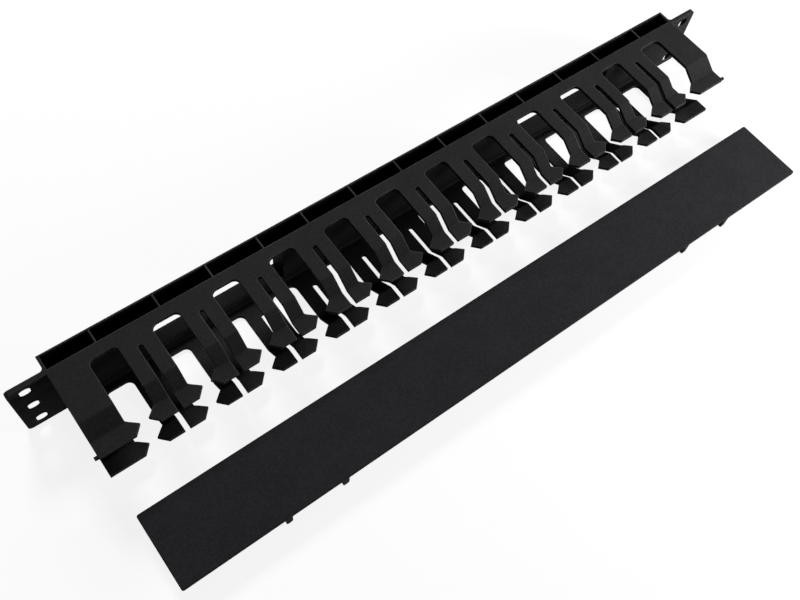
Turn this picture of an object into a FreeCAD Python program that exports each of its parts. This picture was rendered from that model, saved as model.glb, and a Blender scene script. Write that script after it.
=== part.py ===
"""Horizontal rack cable manager, one rack unit high, with its cover lying in front of it.

The duct is one moulding: a panel with two slotted ears, a ribbed back with two cable
windows, and an upper and a lower comb of split fingers with arrow heads. The cover is a
flat strip with a fork at each end for the pins of the upper comb and four hooks along its
lower edge for the lower comb.

Frame: X runs along the rack, -Y points at the user and +Z up. The origin is the centre of
the rack slots, on the rear face of the ears. Sizes are in millimetres.
"""
import FreeCAD, Part
import math
import os
import re
import Sketcher

# Driving sizes: alias, value, what it measures
SIZES = [
    ("rack_width", 482.6, "overall width over the ears, the 19 inch rack panel"),
    ("panel_height", 44.0, "height of the panel, one rack unit less its clearance"),
    ("panel_thick", 2.8, "thickness of the panel and the ears"),
    ("ear_width", 21.3, "length of each ear beyond the back"),
    ("ear_corner", 2.6, "radius of the outer corners of the ears"),
    ("slot_inset", 8.75, "from the end of an ear to the centre of its slots"),
    ("slot_step", 15.875, "vertical distance between two rack slots"),
    ("slot_length", 7.4, "length of a rack slot from end to end"),
    ("slot_height", 6.4, "height of a rack slot"),
    ("groove_width", 5.8, "width of the groove in an ear's rear face, behind its slots"),
    ("groove_depth", 2.0, "depth of that groove"),
    ("groove_end", 0.9, "from the top of the ear down to that groove, which is open below"),
    ("back_depth", 8.8, "from the rear face of the ears to the rear face of the back"),
    ("web_thick", 2.2, "thickness of the panel where the back is hollow"),
    ("rear_wall", 1.0, "thickness of the rear wall of the back"),
    ("end_wall", 1.6, "thickness of the end walls of the back"),
    ("root_round", 2.0, "radius in the corner between an ear and the back"),
    ("mid_web", 2.0, "thickness of the level web halfway up the back"),
    ("rib_thick", 0.9, "thickness of the ribs in the back"),
    ("rib_pitch", 32.0, "distance between the ribs around the middle"),
    ("end_rib", 28.0, "from the end of the back to its outermost rib"),
    ("window_centre", 124.5, "from the middle to the centre of a cable window"),
    ("window_ribs", 31.5, "distance between the three ribs over a window"),
    ("window_width", 83.0, "width of a cable window"),
    ("window_height", 28.6, "clear height of a window"),
    ("window_round", 3.0, "radius around the mouths of a window"),
    ("window_wall", 1.5, "thickness of the walls around a window"),
    ("duct_inset", 0.5, "from the end of the back to the end finger"),
    ("gap_count", 12, "number of cable gaps in a comb"),
    ("gap_width", 16.0, "width of a cable gap between two fingers"),
    ("gap_rear", 7.8, "from the rear face of the ears to the bottom of a gap"),
    ("gap_round", 3.6, "radius in the two bottom corners of a gap"),
    ("split_width", 3.0, "width of the slot that splits a finger"),
    ("split_rear", 14.2, "from the rear face of the ears to the bottom of that slot"),
    ("finger_thick", 2.2, "thickness of a finger"),
    ("finger_root", 1.5, "radius in the corner between a comb and the panel"),
    ("bend_start", 34.7, "from the rear face of the ears to the first bend of a finger"),
    ("bend_end", 43.8, "from the rear face of the ears to the second bend of a finger"),
    ("bend_depth", 6.8, "how far the head of a finger is set in from its root"),
    ("bend_round", 2.0, "radius of both bends"),
    ("finger_reach", 52.6, "from the rear face of the ears to the tip of a finger"),
    ("barb_start", 9.6, "from the tip of a finger back to where its head flares"),
    ("barb_back", 4.8, "from the tip of a finger back to the point of its barb"),
    ("barb_width", 5.6, "how far a barb stands into the cable gap"),
    ("barb_front", 1.1, "how far the front corner of a head stands into the cable gap"),
    ("pin_length", 1.9, "how far a cover pin stands out of the end finger"),
    ("cover_height", 44.4, "height of the cover"),
    ("cover_thick", 2.2, "thickness of the cover plate"),
    ("cover_corner", 1.2, "radius of the corners of the cover plate"),
    ("cover_edge", 0.6, "radius along the front edges of the cover plate"),
    ("cover_reach", 10.5, "how far hooks and forks stand out behind the plate"),
    ("cover_gap", 0.3, "clearance between the cover plate and the finger tips"),
    ("hook_gap", 4, "which cable gap from the middle the inner hook faces, on each side"),
    ("hook_width", 3.8, "width of a hook along the cover"),
    ("hook_side", 4.3, "from the middle of that cable gap out to the middle of the hook"),
    ("hook_thick", 1.5, "thickness of a hook's leg and lip"),
    ("hook_lip", 5.7, "how far the lip of a hook reaches inwards"),
    ("hook_round", 1.6, "radius of the two lower corners of a hook"),
    ("fork_thick", 3.1, "thickness of a fork along the cover"),
    ("fork_width", 6.6, "width of a fork over its two tines"),
    ("fork_gap", 0.4, "clearance between a fork and the end finger"),
    ("pin_gap", 0.15, "clearance between a pin and its fork"),
    ("cover_right", 4.0, "where the cover lies, to the right of the middle"),
    ("cover_front", 100.75, "where the middle of the cover lies, in front of the ears"),
]

# Sizes that follow from the driving ones
DERIVED = {
    "panel_half": "(panel_height / 2)",
    "back_half": "(rack_width / 2 - ear_width)",
    "duct_half": "(back_half - duct_inset)",
    "finger_width": "((2 * duct_half - gap_count * gap_width) / (gap_count + 1))",
    "finger_pitch": "(finger_width + gap_width)",
    "first_gap": "((gap_count - 1) / 2 * finger_pitch)",
    "slot_centre": "(rack_width / 2 - slot_inset)",
    "slot_radius": "(slot_height / 2)",
    "slot_run": "(slot_length / 2 - slot_radius)",
    "hollow_front": "(panel_thick - web_thick)",
    "hollow_rear": "(back_depth - rear_wall)",
    "comb_inner": "(panel_half - finger_thick)",
    "head_outer": "(panel_half - bend_depth)",
    "head_inner": "(comb_inner - bend_depth)",
    "pin_radius": "(finger_thick / 2)",
    "pin_height": "(head_outer - pin_radius)",
    "window_half": "(window_height / 2)",
    "window_side": "(window_width / 2)",
    "cover_half": "(duct_half + fork_gap + fork_thick)",
    "cover_foot": "(cover_thick + cover_reach)",
    "fork_slot": "(pin_radius + pin_gap)",
    "fork_seat": "(cover_thick + cover_gap + pin_radius)",
}


def tied(formula):
    """Turns a formula in plain size names into an expression that reads the sheet."""
    plain = [name for name, value, note in SIZES]

    def swap(match):
        word = match.group(0)
        if word in DERIVED:
            return tied(DERIVED[word])
        return "Sizes." + word if word in plain else word

    return re.sub(r"[a-z_]+", swap, formula)


def make_sheet(doc):
    """Puts the driving sizes in a sheet: a note, and beside it the number with its alias."""
    sheet = doc.addObject("Spreadsheet::Sheet", "Sizes")
    for row, (name, value, note) in enumerate(SIZES, start=1):
        sheet.set(f"A{row}", note)
        sheet.set(f"B{row}", str(value))
        sheet.setAlias(f"B{row}", name)
    doc.recompute()
    return sheet


class Builder:
    """Adds sketches and features to one body, with every size tied to the sheet."""

    def __init__(self, doc, sheet, name):
        self.doc = doc
        self.sheet = sheet
        self.body = doc.addObject("PartDesign::Body", name)
        self.body.Label = name
        self.planes = {item.Role: item for item in self.body.Origin.OriginFeatures}

    def value(self, formula):
        """The present value of a formula."""
        found = self.sheet.evalExpression(tied(formula))
        return float(getattr(found, "Value", found))

    def sketch(self, name, plane, offset="0"):
        """A sketch on an origin plane, moved along its normal by the offset."""
        sketch = self.body.newObject("Sketcher::SketchObject", name)
        sketch.AttachmentSupport = [(self.planes[plane], "")]
        sketch.MapMode = "FlatFace"
        sketch.setExpression("AttachmentOffset.Base.z", tied(offset))
        return sketch

    def outline(self, sketch, corners):
        """Draws a closed outline through the corners and ties each of them to the sheet.

        A corner is (x, y) where a line runs on to the next corner, and (x, y, radius, side)
        where an arc does, which leaves the line before it smoothly and has its centre on
        that side, left or right of the way.
        """
        places = [FreeCAD.Vector(self.value(c[0]), self.value(c[1]), 0) for c in corners]
        starts = []
        ends = []
        for index, corner in enumerate(corners):
            here = places[index]
            there = places[(index + 1) % len(corners)]
            if len(corner) == 2:
                edge = sketch.addGeometry(Part.LineSegment(here, there))
                starts.append((edge, 1))
                ends.append((edge, 2))
                continue
            left = corner[3] == "left"
            edge = sketch.addGeometry(self.arc(here, there, self.value(corner[2]), left))
            starts.append((edge, 1 if left else 2))
            ends.append((edge, 2 if left else 1))
        for index, corner in enumerate(corners):
            joint = "Coincident" if len(corner) == 2 else "Tangent"
            sketch.addConstraint(Sketcher.Constraint(joint, *ends[index - 1], *starts[index]))
            for kind, formula in (("DistanceX", corner[0]), ("DistanceY", corner[1])):
                size = Sketcher.Constraint(kind, -1, 1, *starts[index], self.value(formula))
                self.tie(sketch, size, formula)

    def arc(self, here, there, radius, left):
        """The shorter arc of that radius between two places."""
        chord = there - here
        rise = math.sqrt(max(radius ** 2 - (chord.Length / 2) ** 2, 0.0))
        across = FreeCAD.Vector(-chord.y, chord.x, 0).normalize() * (rise if left else -rise)
        centre = (here + there) * 0.5 + across
        first, last = (here, there) if left else (there, here)
        start = math.atan2(first.y - centre.y, first.x - centre.x)
        stop = math.atan2(last.y - centre.y, last.x - centre.x)
        if stop < start:
            stop += 2 * math.pi
        circle = Part.Circle(centre, FreeCAD.Vector(0, 0, 1), radius)
        return Part.ArcOfCircle(circle, start, stop)

    def tie(self, sketch, constraint, formula):
        """Adds a constraint and ties its value to a formula."""
        index = sketch.addConstraint(constraint)
        sketch.setExpression(f"Constraints[{index}]", tied(formula))

    def circle(self, sketch, x, y, radius):
        """Draws a circle and ties its centre and radius to the sheet."""
        centre = FreeCAD.Vector(self.value(x), self.value(y), 0)
        edge = sketch.addGeometry(Part.Circle(centre, FreeCAD.Vector(0, 0, 1), self.value(radius)))
        self.tie(sketch, Sketcher.Constraint("DistanceX", -1, 1, edge, 3, centre.x), x)
        self.tie(sketch, Sketcher.Constraint("DistanceY", -1, 1, edge, 3, centre.y), y)
        self.tie(sketch, Sketcher.Constraint("Radius", edge, self.value(radius)), radius)

    def extrude(self, kind, name, sketch, length, symmetric=False, reverse=False):
        """A Pad or Pocket of a sketch; a Pocket with no length goes through all."""
        self.doc.recompute()
        before = self.body.Shape.Volume if self.body.Tip else 0.0
        feature = self.body.newObject("PartDesign::" + kind, name)
        feature.Profile = sketch
        feature.SideType = "Symmetric" if symmetric else "One side"
        feature.Reversed = reverse
        if length:
            feature.setExpression("Length", tied(length))
        else:
            feature.Type = "ThroughAll"
        self.doc.recompute()
        change = feature.Shape.Volume - before
        assert change * (1 if kind == "Pad" else -1) > 0, name + " changes nothing"
        return feature

    def mirror(self, name, originals, plane):
        """A mirrored copy of features about an origin plane."""
        feature = self.body.newObject("PartDesign::Mirrored", name)
        feature.Originals = originals
        feature.MirrorPlane = (self.planes[plane], [""])
        self.body.Tip = feature
        self.doc.recompute()
        return feature

    def row(self, name, originals, count, step):
        """Copies of features in a row along X."""
        feature = self.body.newObject("PartDesign::LinearPattern", name)
        feature.Originals = originals
        feature.Direction = (self.planes["X_Axis"], [""])
        feature.Mode = "Spacing"
        feature.setExpression("Offset", tied(step))
        feature.setExpression("Occurrences", tied(count))
        self.body.Tip = feature
        self.doc.recompute()
        return feature

    def fillet(self, name, base, picks, radius):
        """Rounds the edges of a feature that the test picks."""
        edges = [f"Edge{i}" for i, edge in enumerate(base.Shape.Edges, start=1) if picks(edge)]
        assert edges, name + " finds no edge"
        feature = self.body.newObject("PartDesign::Fillet", name)
        feature.Base = (base, edges)
        feature.setExpression("Radius", tied(radius))
        self.doc.recompute()
        return feature


def minus(formula):
    """The negative of a formula."""
    return f"-({formula})"


def box(left, right, low, high):
    """The corners of a rectangle, anticlockwise."""
    return [(left, low), (right, low), (right, high), (left, high)]


def rounded_box(left, right, low, high, r):
    """The corners of a rectangle with rounded corners, anticlockwise."""
    return [
        (f"{left} + {r}", low), (f"{right} - {r}", low, r, "left"),
        (right, f"{low} + {r}"), (right, f"{high} - {r}", r, "left"),
        (f"{right} - {r}", high), (f"{left} + {r}", high, r, "left"),
        (left, f"{high} - {r}"), (left, f"{low} + {r}", r, "left"),
    ]


def panel_and_back(base):
    """The panel with its ears, and the block behind it that the ribs are cut from."""
    panel = base.sketch("PanelOutline", "XZ_Plane")
    end, side = "rack_width / 2", "panel_half"
    base.outline(panel, rounded_box(minus(end), end, minus(side), side, "ear_corner"))
    base.extrude("Pad", "Panel", panel, "panel_thick")

    back = base.sketch("BackOutline", "XY_Plane")
    base.outline(back, box("-back_half", "back_half", "0", "back_depth"))
    block = base.extrude("Pad", "Back", back, "panel_height", symmetric=True)
    half = base.value("back_half")

    def in_corner(edge):
        return all(abs(abs(v.Point.x) - half) < 1e-4 and abs(v.Point.y) < 1e-4 for v in edge.Vertexes)

    base.fillet("EarRoots", block, in_corner, "root_round")


def combs(base):
    """Both combs as plates with two bends each, not cut into fingers yet."""
    plates = base.sketch("CombProfile", "YZ_Plane")
    root = "panel_thick / 2"
    for side, turn in (("", "right"), ("-", "left")):
        base.outline(plates, [
            (minus(root), f"{side}panel_half"), ("-bend_start", f"{side}panel_half"),
            ("-bend_end", f"{side}head_outer"), ("-finger_reach", f"{side}head_outer"),
            ("-finger_reach", f"{side}head_inner"), ("-bend_end", f"{side}head_inner"),
            ("-bend_start", f"{side}comb_inner"),
            ("-panel_thick - finger_root", f"{side}comb_inner", "finger_root", turn),
            ("-panel_thick", f"{side}(comb_inner - finger_root)"),
            (minus(root), f"{side}(comb_inner - finger_root)"),
        ])
    plate = base.extrude("Pad", "Combs", plates, "2 * duct_half", symmetric=True)

    bends = (-base.value("bend_start"), -base.value("bend_end"))
    full = 2 * base.value("duct_half")

    def at_bend(edge):
        ends = [v.Point for v in edge.Vertexes]
        return abs(edge.Length - full) < 1e-3 and any(abs(ends[0].y - y) < 1e-4 for y in bends)

    base.fillet("CombBends", plate, at_bend, "bend_round")


def cover_pins(base):
    """A pin at the tip of each end finger of the upper comb."""
    sketch = base.sketch("PinOutline", "YZ_Plane", "duct_half - pin_length")
    base.circle(sketch, "-finger_reach + pin_radius", "pin_height", "pin_radius")
    pin = base.extrude("Pad", "CoverPin", sketch, "2 * pin_length")
    base.mirror("CoverPins", [pin], "YZ_Plane")


def fingers(base):
    """The cable gaps, which leave fingers with arrow heads, and the slots that split them."""
    gap = base.sketch("GapOutline", "XY_Plane")
    left, right = "-first_gap - gap_width / 2", "-first_gap + gap_width / 2"
    flare, barb, tip = "-finger_reach + barb_start", "-finger_reach + barb_back", "-finger_reach"
    past, r = "-finger_reach - barb_start", "gap_round"
    base.outline(gap, [
        (f"{left} + {r}", "-gap_rear", r, "left"), (left, f"-gap_rear - {r}"), (left, flare),
        (f"{left} + barb_width", barb), (f"{left} + barb_front", tip), (f"{left} + barb_front", past),
        (f"{right} - barb_front", past), (f"{right} - barb_front", tip), (f"{right} - barb_width", barb),
        (right, flare), (right, f"-gap_rear - {r}", r, "left"), (f"{right} - {r}", "-gap_rear"),
    ])
    cut = base.extrude("Pocket", "Gap", gap, None, symmetric=True)
    base.row("Gaps", [cut], "gap_count", "finger_pitch")

    split = base.sketch("SplitOutline", "XY_Plane")
    middle, r = "(-first_gap + finger_pitch / 2)", "split_width / 2"
    base.outline(split, [
        (f"{middle} + {r}", f"-split_rear - {r}", r, "left"), (f"{middle} - {r}", f"-split_rear - {r}"),
        (f"{middle} - {r}", past), (f"{middle} + {r}", past),
    ])
    cut = base.extrude("Pocket", "Split", split, None, symmetric=True)
    base.row("Splits", [cut], "gap_count - 1", "finger_pitch")


def rib_places():
    """Formulas for the centre lines of the ribs on the right half, from the middle out."""
    places = ["0", "rib_pitch", "2 * rib_pitch"]
    places += ["window_centre - window_ribs", "window_centre", "window_centre + window_ribs"]
    return places + ["back_half - end_rib"]


def cells(base):
    """The open cells between the ribs, shallow over the windows and deep elsewhere."""
    ribs = rib_places()
    spans = [(a + " + rib_thick / 2", b + " - rib_thick / 2") for a, b in zip(ribs, ribs[1:])]
    spans.append((ribs[-1] + " + rib_thick / 2", "back_half - end_wall"))
    shallow = [span for span in spans if "window_centre" in span[0] + span[1]]
    deep = [span for span in spans if span not in shallow]
    deep.append((shallow[0][0], "window_centre - window_side - window_wall"))
    deep.append(("window_centre + window_side + window_wall", shallow[-1][1]))
    cuts = []
    for name, row, floor in (("DeepCells", deep, "mid_web / 2"),
                             ("WindowCells", shallow, "window_half + window_wall")):
        sketch = base.sketch(name + "Outline", "XY_Plane", "panel_half")
        for near, far in row:
            base.outline(sketch, box(near, far, "-hollow_front", "hollow_rear"))
            base.outline(sketch, box(minus(far), minus(near), "-hollow_front", "hollow_rear"))
        cuts.append(base.extrude("Pocket", name, sketch, f"panel_half - ({floor})"))
    base.mirror("LowerCells", cuts, "XY_Plane")


def windows(base):
    """The two cable windows, right through the back, with rounded mouths above and below."""
    sketch = base.sketch("WindowProfile", "YZ_Plane", "window_centre")
    front, rear, half, r = "-panel_thick", "back_depth", "window_half", "window_round"
    base.outline(sketch, [
        (front, f"-{half} - {r}", r, "right"), (f"{front} + {r}", f"-{half}"),
        (f"{rear} - {r}", f"-{half}", r, "right"), (rear, f"-{half} - {r}"),
        (rear, f"{half} + {r}", r, "right"), (f"{rear} - {r}", half),
        (f"{front} + {r}", half, r, "right"), (front, f"{half} + {r}"),
    ])
    cut = base.extrude("Pocket", "Window", sketch, "2 * window_side", symmetric=True)
    base.mirror("Windows", [cut], "YZ_Plane")


def rack_slots(base):
    """Three slots in each ear, and a groove behind them in its rear face, open below."""
    slots = base.sketch("SlotOutline", "XZ_Plane")
    groove = base.sketch("GrooveOutline", "XZ_Plane")
    top, below = "panel_half - groove_end", "-panel_half - groove_end"
    for x in ("slot_centre", "-slot_centre"):
        left, right = f"{x} - slot_run", f"{x} + slot_run"
        for y in ("-slot_step", "0", "slot_step"):
            low, high = f"{y} - slot_radius", f"{y} + slot_radius"
            base.outline(slots, [
                (left, low), (right, low, "slot_radius", "left"),
                (right, high), (left, high, "slot_radius", "left"),
            ])
        base.outline(groove, box(f"{x} - groove_width / 2", f"{x} + groove_width / 2", below, top))
    base.extrude("Pocket", "RackSlots", slots, None, symmetric=True)
    base.extrude("Pocket", "SlotGroove", groove, "groove_depth", reverse=True)


def make_base(doc, sheet):
    """The moulded finger duct."""
    base = Builder(doc, sheet, "finger_duct_base")
    panel_and_back(base)
    rack_slots(base)
    cells(base)
    windows(base)
    combs(base)
    cover_pins(base)
    fingers(base)
    return base.body


def make_cover(doc, sheet):
    """The cover, modelled face up about the middle of its face, then laid in front of the duct."""
    cover = Builder(doc, sheet, "snap_cover")
    plate = cover.sketch("PlateOutline", "XY_Plane")
    end, side = "cover_half", "cover_height / 2"
    cover.outline(plate, rounded_box(minus(end), end, minus(side), side, "cover_corner"))
    slab = cover.extrude("Pad", "Plate", plate, "cover_thick", reverse=True)

    def on_face(edge):
        return all(abs(v.Point.z) < 1e-6 for v in edge.Vertexes)

    cover.fillet("PlateEdge", slab, on_face, "cover_edge")

    # Hooks are round-ended tongues behind the lower edge, each facing a barb of the lower comb
    edge, foot, r = "-cover_height / 2 + cover_edge", "-cover_foot", "hook_round"
    leg = f"{edge} + hook_thick"
    hooks = []
    for name, gap in (("Inner", "hook_gap"), ("Outer", "(hook_gap + 1)")):
        middle = f"(({gap} - 0.5) * finger_pitch + hook_side)"
        left, right = f"{middle} - hook_width / 2", f"{middle} + hook_width / 2"
        tongue = cover.sketch(name + "HookOutline", "XZ_Plane", minus(edge))
        cover.outline(tongue, [
            (left, "-cover_thick / 2"), (left, f"{foot} + {r}", r, "left"), (f"{left} + {r}", foot),
            (f"{right} - {r}", foot, r, "left"), (right, f"{foot} + {r}"), (right, "-cover_thick / 2"),
        ])
        hooks.append(cover.extrude("Pad", name + "Hook", tongue, "hook_thick + hook_lip", reverse=True))
        throat = cover.sketch(name + "ThroatProfile", "YZ_Plane", middle)
        cover.outline(throat, box(leg, f"{leg} + hook_lip", f"{foot} + hook_thick", "-cover_thick"))
        hooks.append(cover.extrude("Pocket", name + "Throat", throat, "hook_width", symmetric=True))
    cover.mirror("Hooks", hooks, "YZ_Plane")

    # Forks take the pins of the upper comb
    fork = cover.sketch("ForkProfile", "YZ_Plane", "duct_half + fork_gap")
    low, high = "pin_height - fork_width / 2", "pin_height + fork_width / 2"
    cover.outline(fork, [
        (low, "-cover_thick / 2"), (low, foot), ("pin_height - fork_slot", foot),
        ("pin_height - fork_slot", "-fork_seat", "fork_slot", "right"),
        ("pin_height + fork_slot", "-fork_seat"), ("pin_height + fork_slot", foot),
        (high, foot), (high, "-cover_thick / 2"),
    ])
    prong = cover.extrude("Pad", "Fork", fork, "fork_thick")
    cover.mirror("Forks", [prong], "YZ_Plane")

    cover.body.setExpression("Placement.Base.x", tied("cover_right"))
    cover.body.setExpression("Placement.Base.y", tied("-cover_front"))
    cover.body.setExpression("Placement.Base.z", tied("cover_foot - panel_half"))
    return cover.body


def main():
    """Builds both mouldings, checks them and writes one file for each."""
    doc = FreeCAD.newDocument("CableManager")
    sheet = make_sheet(doc)
    parts = [make_base(doc, sheet), make_cover(doc, sheet)]
    doc.recompute()
    for item in doc.Objects:
        wrong = {"Invalid", "Error"} & set(item.State)
        assert not wrong, f"{item.Name}: {wrong}"
    os.makedirs("parts", exist_ok=True)
    for body in parts:
        shape = body.Shape
        assert not shape.isNull() and shape.isValid() and len(shape.Solids) == 1, body.Label
        shape.exportStep(f"parts/{body.Label}.step")
        print(body.Label, shape.BoundBox)
        print("   volume", round(shape.Volume), "faces", len(shape.Faces))


main()
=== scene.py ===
"""Looks of the rack cable manager: black moulded plastic, a pale floor and soft studio light."""
import math

import bpy
import numpy as np
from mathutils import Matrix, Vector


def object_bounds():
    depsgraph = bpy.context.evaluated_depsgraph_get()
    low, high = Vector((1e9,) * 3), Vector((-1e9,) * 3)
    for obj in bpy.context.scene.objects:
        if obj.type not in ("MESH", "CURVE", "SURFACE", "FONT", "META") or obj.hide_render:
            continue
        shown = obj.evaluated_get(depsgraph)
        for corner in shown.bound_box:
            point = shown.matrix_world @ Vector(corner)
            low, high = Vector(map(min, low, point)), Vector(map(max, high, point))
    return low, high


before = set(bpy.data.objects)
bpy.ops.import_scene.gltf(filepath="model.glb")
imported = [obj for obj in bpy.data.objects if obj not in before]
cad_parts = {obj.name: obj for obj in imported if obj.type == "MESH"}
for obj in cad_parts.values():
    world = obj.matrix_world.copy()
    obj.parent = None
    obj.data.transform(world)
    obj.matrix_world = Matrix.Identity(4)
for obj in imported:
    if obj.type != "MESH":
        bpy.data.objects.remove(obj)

MM = 0.001
CAD_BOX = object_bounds()
FLOOR_Z = CAD_BOX[0].z

# Camera of the photograph: focal length in pixels, place in millimetres, turn about X, Y and Z
IMAGE_WIDTH = 800
SENSOR_WIDTH = 36.0
FOCAL_PIXELS = 915.95
CAMERA_PLACE = (-216.56, -233.52, 445.37)
CAMERA_TURN = (0.49996, -0.07855, -0.64077)
NEAREST, FARTHEST = 0.01, 50.0

# Plastics: colour, roughness, and the radius in millimetres by which edges look rounded
DUCT_FINISH = ((0.0143, 0.0140, 0.0144), 0.60, 0.85)
COVER_FINISH = ((0.0134, 0.0132, 0.0145), 0.56, 0.40)
SPECULAR_LEVEL = 0.005
EDGE_SAMPLES = 6

# Clouds, speckle and grain of the plastics: noise scale per metre, and how far they change the finish
CLOUD_SCALE = 60.0
SPECKLE_SCALE = 900.0
GRAIN_SCALE = 2400.0
NOISE_RANGE = (0.3, 0.7)
CLOUD_CHANGE = 0.07
SPECKLE_CHANGE = 0.16
GLOSS_RANGE = (0.25, 0.75)
GLOSS_CHANGE = 0.05
GRAIN_DEPTH = 0.02 * MM
GRAIN_STRENGTH = 0.5

# Edges rubbed paler and lit by a painted highlight: agreement of the rounded and the flat normal,
# patches, and gain in brightness
EDGE_BAND_RANGE = (0.80, 0.99)
PATCH_RANGE = (0.35, 0.65)
LEAST_EDGE_LIGHTENING = 0.35
EDGE_WEAR_AND_HIGHLIGHT_GAIN = 5.0

# Painted shade on sheltered faces: reach of the occlusion test, open share of what is above the face,
# and the colour kept
PAINTED_SHADE_REACH = 40.0 * MM
PAINTED_SHADE_SAMPLES = 4
PAINTED_SHADE_OPEN_RANGE = (0.50, 0.97)
PAINTED_SHADE_SHARE = 0.10

# Shading: bends sharper than this in degrees stay hard, and points this close are one
SHARP_BEND = 32.0
MERGE_REACH = 0.002 * MM

# Floor, in metres: half its side, its gap under the object, and where its white starts and is full
FLOOR_HALF = 6.0
FLOOR_GAP = 0.02 * MM
FLOOR_PAINT = 0.68
WHITE_START, WHITE_FULL = 0.25, 1.6
WHITE_NEAR, WHITE_FAR = 0.86, 1.0

# Surround: height of its white skirt, direction of its bright side, and its levels above the skirt
SKIRT_RANGE = (0.12, 0.35)
BRIGHT_SIDE = (0.50, 0.78, 0.37)
SIDE_START, SIDE_FULL = 0.25, 0.9
DIM_LEVEL, BRIGHT_LEVEL = 0.0, 0.34

# Soft boxes: place, aim and side in metres, and power in watts
KEY_LIGHT = ((0.10, 1.00, 1.03), (0.05, -0.05, 0.0), 0.35, 27.0)
FILL_LIGHT = ((0.52, -0.38, 0.18), (0.16, -0.05, 0.0), 0.2, 8.2)

WHITE = (1.0, 1.0, 1.0, 1.0)


def grey(level):
    """A colour with the same level of red, green and blue."""
    return (level, level, level)


def times(gain, colour):
    """A colour with each of its levels multiplied by the gain."""
    return tuple(gain * level for level in colour)


def clear_tree(owner):
    """The node tree of a material or a world, emptied."""
    owner.use_nodes = True
    owner.node_tree.nodes.clear()
    return owner.node_tree


def feed(tree, socket, value):
    """Links a pair (node, output) to a socket, or sets the socket to a plain value."""
    if isinstance(value, tuple) and isinstance(value[0], bpy.types.Node):
        tree.links.new(value[0].outputs[value[1]], socket)
    else:
        socket.default_value = value


def node(tree, kind, **sockets):
    """Adds a shader node and feeds the inputs named, with _ for a space."""
    made = tree.nodes.new("ShaderNode" + kind)
    for name, value in sockets.items():
        feed(tree, made.inputs[name.replace("_", " ")], value)
    return made


def compute(tree, kind, operation, *values):
    """A Math or VectorMath node of one operation, with its inputs fed in order."""
    made = tree.nodes.new("ShaderNode" + kind)
    made.operation = operation
    for socket, value in zip(made.inputs, values):
        feed(tree, socket, value)
    return made


def blend_colours(tree, kind, share, first, second):
    """A Mix node that blends the second colour over the first by a share."""
    made = tree.nodes.new("ShaderNodeMix")
    made.data_type = "RGBA"
    made.blend_type = kind
    feed(tree, made.inputs[0], share)
    sockets = [item for item in made.inputs if item.type == "RGBA"]
    for socket, value in zip(sockets, (first, second)):
        feed(tree, socket, value)
    return made


def ramp(tree, source, limits, start, end):
    """Maps a value to the start colour below the limits, the end colour above, a blend between."""
    made = node(tree, "ValToRGB", Fac=source)
    for stop, limit, colour in zip(made.color_ramp.elements, limits, (start, end)):
        stop.position = limit
        stop.color = (*colour, 1.0)
    return made


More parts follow.
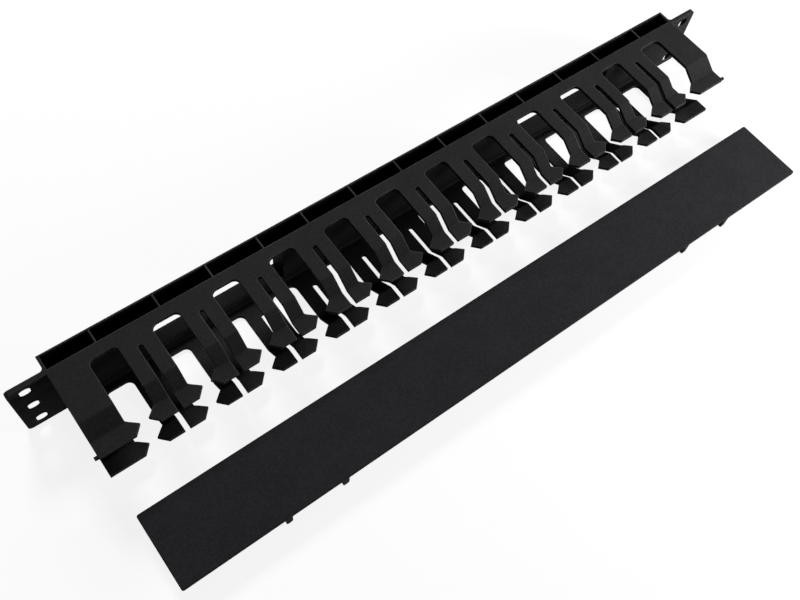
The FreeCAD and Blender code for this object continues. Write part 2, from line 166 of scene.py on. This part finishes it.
def black_plastic(name, shade, rough, edge):
    """Moulded black plastic with edges rounded by a radius in millimetres.

    Its colour is faintly clouded over centimetres and speckled over a millimetre, its gloss
    follows the clouds, and a spark-eroded grain roughens it. Its edges are painted paler in
    patches, as rubbing and as a painted highlight. A face is darkened by painted shade the
    more of its outlook is shut off by the same moulding.
    """
    material = bpy.data.materials.new(name)
    tree = clear_tree(material)
    place = node(tree, "TexCoord")
    cloud = node(tree, "TexNoise", Vector=(place, "Object"), Scale=CLOUD_SCALE, Detail=3.0,
                 Roughness=0.6)
    speckle = node(tree, "TexNoise", Vector=(place, "Object"), Scale=SPECKLE_SCALE, Detail=1.0)
    grain = node(tree, "TexNoise", Vector=(place, "Object"), Scale=GRAIN_SCALE, Detail=2.0)

    dull = times(1.0 - CLOUD_CHANGE, shade)
    pale = times(1.0 + CLOUD_CHANGE, shade)
    clouded = ramp(tree, (cloud, "Fac"), NOISE_RANGE, dull, pale)
    dark, light = grey(1.0 - SPECKLE_CHANGE), grey(1.0 + SPECKLE_CHANGE)
    specks = ramp(tree, (speckle, "Fac"), NOISE_RANGE, dark, light)
    body = blend_colours(tree, "MULTIPLY", 1.0, (clouded, "Color"), (specks, "Color"))

    round_edge = node(tree, "Bevel", Radius=edge * MM)
    round_edge.samples = EDGE_SAMPLES
    face = node(tree, "NewGeometry")
    flatness = compute(tree, "VectorMath", "DOT_PRODUCT", (round_edge, "Normal"), (face, "Normal"))
    # Painted highlight with wear: edges are lightened in patches to several times the colour's level.
    edge_band = ramp(tree, (flatness, "Value"), EDGE_BAND_RANGE, grey(1.0), grey(0.0))
    patchy = ramp(tree, (cloud, "Fac"), PATCH_RANGE, grey(LEAST_EDGE_LIGHTENING), grey(1.0))
    wear_and_highlight = compute(tree, "Math", "MULTIPLY", (edge_band, "Color"), (patchy, "Color"))
    wear_and_highlight_colour = (*times(EDGE_WEAR_AND_HIGHLIGHT_GAIN, shade), 1.0)
    edged = blend_colours(tree, "MIX", (wear_and_highlight, "Value"), (body, "Result"), wear_and_highlight_colour)

    # Painted shade: ambient occlusion from the same moulding darkens the colour in gaps, recesses and
    # under overhangs.
    occlusion = node(tree, "AmbientOcclusion", Distance=PAINTED_SHADE_REACH)
    occlusion.samples = PAINTED_SHADE_SAMPLES
    occlusion.only_local = True
    painted_shade = ramp(tree, (occlusion, "AO"), PAINTED_SHADE_OPEN_RANGE, grey(PAINTED_SHADE_SHARE), grey(1.0))
    colour = blend_colours(tree, "MULTIPLY", 1.0, (edged, "Result"), (painted_shade, "Color"))

    smoother, rougher = grey(rough - GLOSS_CHANGE), grey(rough + GLOSS_CHANGE)
    gloss = ramp(tree, (cloud, "Fac"), GLOSS_RANGE, smoother, rougher)
    bump = node(tree, "Bump", Strength=GRAIN_STRENGTH, Distance=GRAIN_DEPTH, Height=(grain, "Fac"),
                Normal=(round_edge, "Normal"))
    surface = node(tree, "BsdfPrincipled", Base_Color=(colour, "Result"), Roughness=(gloss, "Color"),
                   Normal=(bump, "Normal"), Specular_IOR_Level=SPECULAR_LEVEL)
    node(tree, "OutputMaterial", Surface=(surface, "BSDF"))
    return material


def shade_by_angle(sharp):
    """A node group that shades a mesh smooth, and leaves edges sharper than the angle hard."""
    group = bpy.data.node_groups.new("shade_by_angle", "GeometryNodeTree")
    for side in ("INPUT", "OUTPUT"):
        group.interface.new_socket("Geometry", in_out=side, socket_type="NodeSocketGeometry")
    start = group.nodes.new("NodeGroupInput")
    end = group.nodes.new("NodeGroupOutput")
    angle = group.nodes.new("GeometryNodeInputMeshEdgeAngle")
    soft = group.nodes.new("FunctionNodeCompare")
    soft.data_type = "FLOAT"
    soft.operation = "LESS_THAN"
    soft.inputs["B"].default_value = math.radians(sharp)
    faces = group.nodes.new("GeometryNodeSetShadeSmooth")
    edges = group.nodes.new("GeometryNodeSetShadeSmooth")
    edges.domain = "EDGE"
    group.links.new(angle.outputs["Unsigned Angle"], soft.inputs["A"])
    group.links.new(start.outputs["Geometry"], faces.inputs["Geometry"])
    group.links.new(faces.outputs["Geometry"], edges.inputs["Geometry"])
    group.links.new(soft.outputs["Result"], edges.inputs["Shade Smooth"])
    group.links.new(edges.outputs["Geometry"], end.inputs["Geometry"])
    return group


def finish_moulding(name, material, shading):
    """Gives a moulding its plastic, and shades its bends and round corners smooth."""
    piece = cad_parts[name]
    piece.data.materials.clear()
    piece.data.materials.append(material)
    weld = piece.modifiers.new("Weld", "WELD")
    weld.merge_threshold = MERGE_REACH
    smooth = piece.modifiers.new("Shading", "NODES")
    smooth.node_group = shading
    even = piece.modifiers.new("Flat shading", "WEIGHTED_NORMAL")
    even.mode = "FACE_AREA"
    even.keep_sharp = True


def seen_directly(tree):
    """1 for rays from the camera, a mirror or a glass, and 0 for the light that reaches the object."""
    path = node(tree, "LightPath")
    shine = compute(tree, "Math", "MAXIMUM", (path, "Is Glossy Ray"), (path, "Is Transmission Ray"))
    return compute(tree, "Math", "MAXIMUM", (path, "Is Camera Ray"), (shine, "Value"))


def pale_floor():
    """A wide pale floor with the object's shadow, which turns white away from the object.

    It is a square of four points just under the object. The share of plain white in what is
    seen of it rises evenly with the distance from the middle.
    """
    mesh = bpy.data.meshes.new("floor")
    corners = FLOOR_HALF * np.array([(-1, -1), (1, -1), (1, 1), (-1, 1)], float)
    places = np.column_stack([corners, np.full(4, FLOOR_Z - FLOOR_GAP)])
    mesh.from_pydata(places.tolist(), [], [(0, 1, 2, 3)])
    floor = bpy.data.objects.new("floor", mesh)
    bpy.context.scene.collection.objects.link(floor)

    material = bpy.data.materials.new("pale_floor")
    tree = clear_tree(material)
    place = node(tree, "TexCoord")
    away = compute(tree, "VectorMath", "LENGTH", (place, "Object"))
    white_share = node(tree, "MapRange", Value=(away, "Value"), From_Min=WHITE_START,
                       From_Max=WHITE_FULL, To_Min=WHITE_NEAR, To_Max=WHITE_FAR)
    share = compute(tree, "Math", "MULTIPLY", (seen_directly(tree), "Value"), (white_share, "Result"))
    paint = node(tree, "BsdfDiffuse", Color=(*grey(FLOOR_PAINT), 1.0))
    white = node(tree, "Emission", Color=WHITE, Strength=1.0)
    mix = tree.nodes.new("ShaderNodeMixShader")
    for socket, value in zip(mix.inputs, ((share, "Value"), (paint, "BSDF"), (white, "Emission"))):
        feed(tree, socket, value)
    node(tree, "OutputMaterial", Surface=(mix, "Shader"))
    mesh.materials.append(material)


def pale_surround():
    """A surround that is white up to the horizon, and above it bright behind and right, dim in front.

    Its level above the white skirt rises with the agreement between a direction and the bright side.
    """
    world = bpy.data.worlds.new("surround")
    bpy.context.scene.world = world
    tree = clear_tree(world)
    way = node(tree, "TexCoord")
    height = node(tree, "SeparateXYZ", Vector=(way, "Generated"))
    skirt = ramp(tree, (height, "Z"), SKIRT_RANGE, grey(1.0), grey(0.0))
    shown = compute(tree, "Math", "MULTIPLY", (skirt, "Color"), (seen_directly(tree), "Value"))
    side = compute(tree, "VectorMath", "DOT_PRODUCT", (way, "Generated"), BRIGHT_SIDE)
    ceiling = node(tree, "MapRange", Value=(side, "Value"), From_Min=SIDE_START, From_Max=SIDE_FULL,
                   To_Min=DIM_LEVEL, To_Max=BRIGHT_LEVEL)
    level = compute(tree, "Math", "MAXIMUM", (shown, "Value"), (ceiling, "Result"))
    back = node(tree, "Background", Color=WHITE, Strength=(level, "Value"))
    node(tree, "OutputWorld", Surface=(back, "Background"))


def soft_light(name, place, aim, size, power):
    """A square soft box at a place, turned about X and then Z so that it faces its aim."""
    lamp = bpy.data.lights.new(name, "AREA")
    lamp.shape = "SQUARE"
    lamp.size = size
    lamp.energy = power
    box = bpy.data.objects.new(name, lamp)
    box.location = place
    way = np.subtract(aim, place)
    level = math.hypot(way[0], way[1])
    box.rotation_mode = "XYZ"
    box.rotation_euler = (math.atan2(level, -way[2]), 0.0, math.atan2(-way[0], way[1]))
    bpy.context.scene.collection.objects.link(box)


def photo_camera():
    """The camera of the photograph: its lens is the focal length in pixels times the pixel's width."""
    data = bpy.data.cameras.new("camera")
    data.sensor_fit = "HORIZONTAL"
    data.sensor_width = SENSOR_WIDTH
    data.lens = FOCAL_PIXELS / IMAGE_WIDTH * SENSOR_WIDTH
    data.clip_start = NEAREST
    data.clip_end = FARTHEST
    camera = bpy.data.objects.new("camera", data)
    camera.location = times(MM, CAMERA_PLACE)
    camera.rotation_mode = "XYZ"
    camera.rotation_euler = CAMERA_TURN
    bpy.context.scene.collection.objects.link(camera)
    bpy.context.scene.camera = camera


shading = shade_by_angle(SHARP_BEND)
finish_moulding("finger_duct_base", black_plastic("duct_plastic", *DUCT_FINISH), shading)
finish_moulding("snap_cover", black_plastic("cover_plastic", *COVER_FINISH), shading)
pale_floor()
pale_surround()
soft_light("key", *KEY_LIGHT)
soft_light("fill", *FILL_LIGHT)
photo_camera()
bpy.context.scene.view_settings.view_transform = "Standard"
